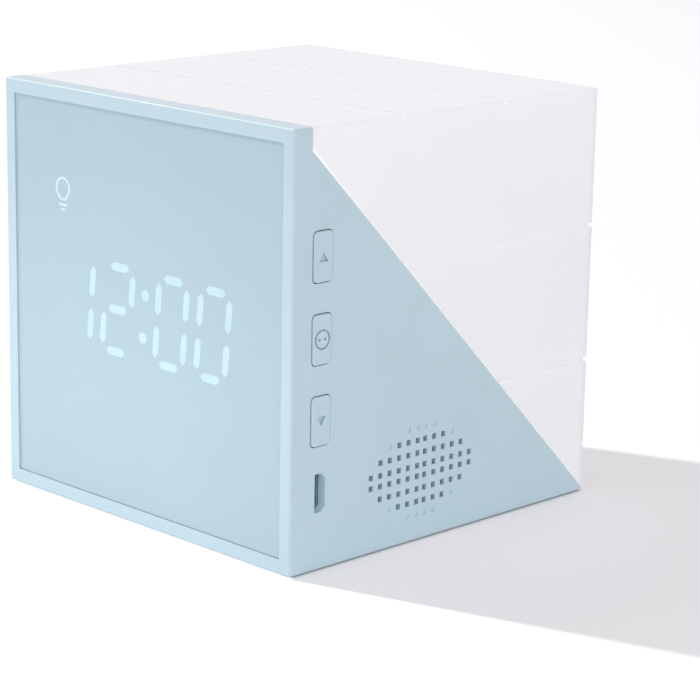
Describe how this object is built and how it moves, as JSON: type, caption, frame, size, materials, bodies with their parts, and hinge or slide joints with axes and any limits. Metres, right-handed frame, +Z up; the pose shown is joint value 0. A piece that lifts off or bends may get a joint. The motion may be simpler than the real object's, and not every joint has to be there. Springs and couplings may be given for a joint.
{
  "type": "night light alarm clock",
  "caption": "Cube-shaped bedside alarm clock: a pale blue clock half with lit digits, push keys and speaker grille, and a white grooved night-light half that meets it along a diagonal seam.",
  "frame": {"origin": "middle of the surface the clock stands on, under the middle of the cube", "axes": "+Z up, -Y out of the display, +X out of the side with the keys"},
  "size_m": [0.0903, 0.09, 0.0903],
  "materials": {
    "pale_blue_case": "fine satin moulded plastic, pale blue",
    "pale_blue_panel": "fine matt panel, pale blue, light shows through it",
    "lit_window": "translucent plastic lit from behind, cool white",
    "white_diffuser": "translucent milky white plastic, satin",
    "white_reflector": "opaque white plastic",
    "lamp_body": "small lamp with a pale yellow lens",
    "green_board": "green circuit board",
    "white_board": "white circuit board",
    "screw_steel": "zinc-plated steel",
    "bright_steel": "plated steel shell",
    "black_plastic": "black plastic",
    "white_connector": "off-white connector plastic",
    "cone_paper": "coated paper",
    "magnet": "plated magnet cup",
    "grey_foam": "closed-cell foam",
    "cell_wrap": "blue shrink wrap over a metal can",
    "lead_red": "insulated wire",
    "lead_black": "insulated wire",
    "lead_white": "insulated wire",
    "foot_rubber": "grey rubber"
  },
  "bodies": {
    "case": {"housing": "pale_blue_case", "diffuser": "white_diffuser", "front_panel": "pale_blue_panel", "lit_segments": "lit_window", "dark_segments": "pale_blue_panel", "lamp_sign": "lit_window", "display_reflector": "white_reflector", "display_lamps": "lamp_body", "main_board": "green_board", "board_screws": "screw_steel", "switch_bodies": "black_plastic", "socket_shell": "bright_steel", "socket_tongue": "black_plastic", "speaker_gasket": "grey_foam", "speaker_frame": "black_plastic", "speaker_cone": "cone_paper", "speaker_magnet": "magnet", "speaker_leads": "lead_black", "battery_cell": "cell_wrap", "battery_header": "white_connector", "battery_plug": "white_connector", "battery_leads": "lead_red", "control_chip": "black_plastic", "crystal": "bright_steel", "reflector_plate": "white_reflector", "plate_screws": "screw_steel", "lamp_board": "white_board", "lamps": "lamp_body", "lamp_screws": "screw_steel", "lamp_leads": "lead_white", "base_screws": "screw_steel", "rubber_feet": "foot_rubber"},
    "up_button": {"up_key": "pale_blue_case", "up_switch_stem": "black_plastic"},
    "set_button": {"set_key": "pale_blue_case", "set_switch_stem": "black_plastic"},
    "down_button": {"down_key": "pale_blue_case", "down_switch_stem": "black_plastic"}
  },
  "joints": [
    {"name": "up_press", "type": "slide", "parent": "case", "child": "up_button", "axis": [-1, 0, 0], "range_m": [0, 0.0003], "stiffness_N_per_m": 2000, "springref_m": -0.0005},
    {"name": "set_press", "type": "slide", "parent": "case", "child": "set_button", "axis": [-1, 0, 0], "range_m": [0, 0.0003], "stiffness_N_per_m": 2000, "springref_m": -0.0005},
    {"name": "down_press", "type": "slide", "parent": "case", "child": "down_button", "axis": [-1, 0, 0], "range_m": [0, 0.0003], "stiffness_N_per_m": 2000, "springref_m": -0.0005}
  ]
}
